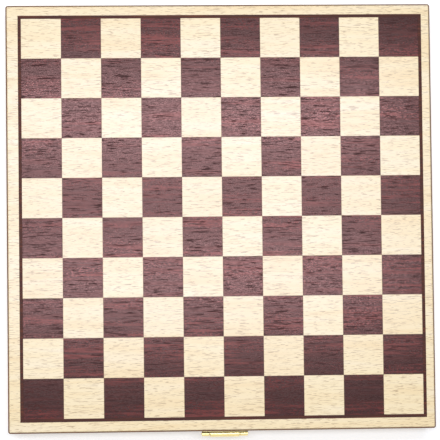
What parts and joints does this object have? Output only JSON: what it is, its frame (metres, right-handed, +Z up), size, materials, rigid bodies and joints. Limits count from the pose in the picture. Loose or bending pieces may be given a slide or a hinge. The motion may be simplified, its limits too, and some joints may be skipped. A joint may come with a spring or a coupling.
{
  "type": "game box",
  "caption": "Flat hinged wooden case with an inlaid draughts board on the lid, a chess board below, divided tray inside and a snap clasp.",
  "frame": {"origin": "middle of the underside", "axes": "+X to the right along the clasp side, +Y from the clasp side to the hinges, +Z up"},
  "size_m": [0.4, 0.4082, 0.054],
  "materials": {
    "beech": "satin clear lacquer",
    "light_veneer": "satin clear lacquer",
    "dark_veneer": "satin clear lacquer",
    "fibreboard": "matt",
    "felt": "napped felt",
    "brass": "polished"
  },
  "bodies": {
    "base": {"base_panel": "fibreboard", "chess_border": "light_veneer", "chess_stringing": "dark_veneer", "chess_light_squares": "light_veneer", "chess_dark_squares": "dark_veneer", "base_front_rail": "beech", "base_back_rail": "beech", "base_left_rail": "beech", "base_right_rail": "beech", "long_divider": "beech", "trough_stop": "beech", "centre_divider": "beech", "cross_divider": "beech", "base_lining": "felt", "base_hinge_leaves": "brass", "hinge_pins": "brass", "base_hinge_screws": "brass", "clasp_catch": "brass", "clasp_catch_screws": "brass"},
    "lid": {"lid_front_rail": "beech", "lid_back_rail": "beech", "lid_left_rail": "beech", "lid_right_rail": "beech", "lid_panel": "fibreboard", "draughts_border": "light_veneer", "draughts_stringing": "dark_veneer", "draughts_light_squares": "light_veneer", "draughts_dark_squares": "dark_veneer", "lid_lining": "felt", "lid_hinge_leaves": "brass", "lid_hinge_screws": "brass", "clasp_leaf": "brass", "clasp_pin": "brass", "clasp_leaf_screws": "brass"},
    "flap": {"clasp_flap": "brass"}
  },
  "joints": [
    {"name": "lid_hinge", "type": "hinge", "parent": "base", "child": "lid", "pos_m": [0, 0.2004, 0.0371], "axis": [-1, 0, 0], "range_deg": [0, 180]},
    {"name": "clasp_hinge", "type": "hinge", "parent": "lid", "child": "flap", "pos_m": [0.002, -0.2031, 0.041], "axis": [-1, 0, 0], "range_deg": [0, 175]}
  ]
}
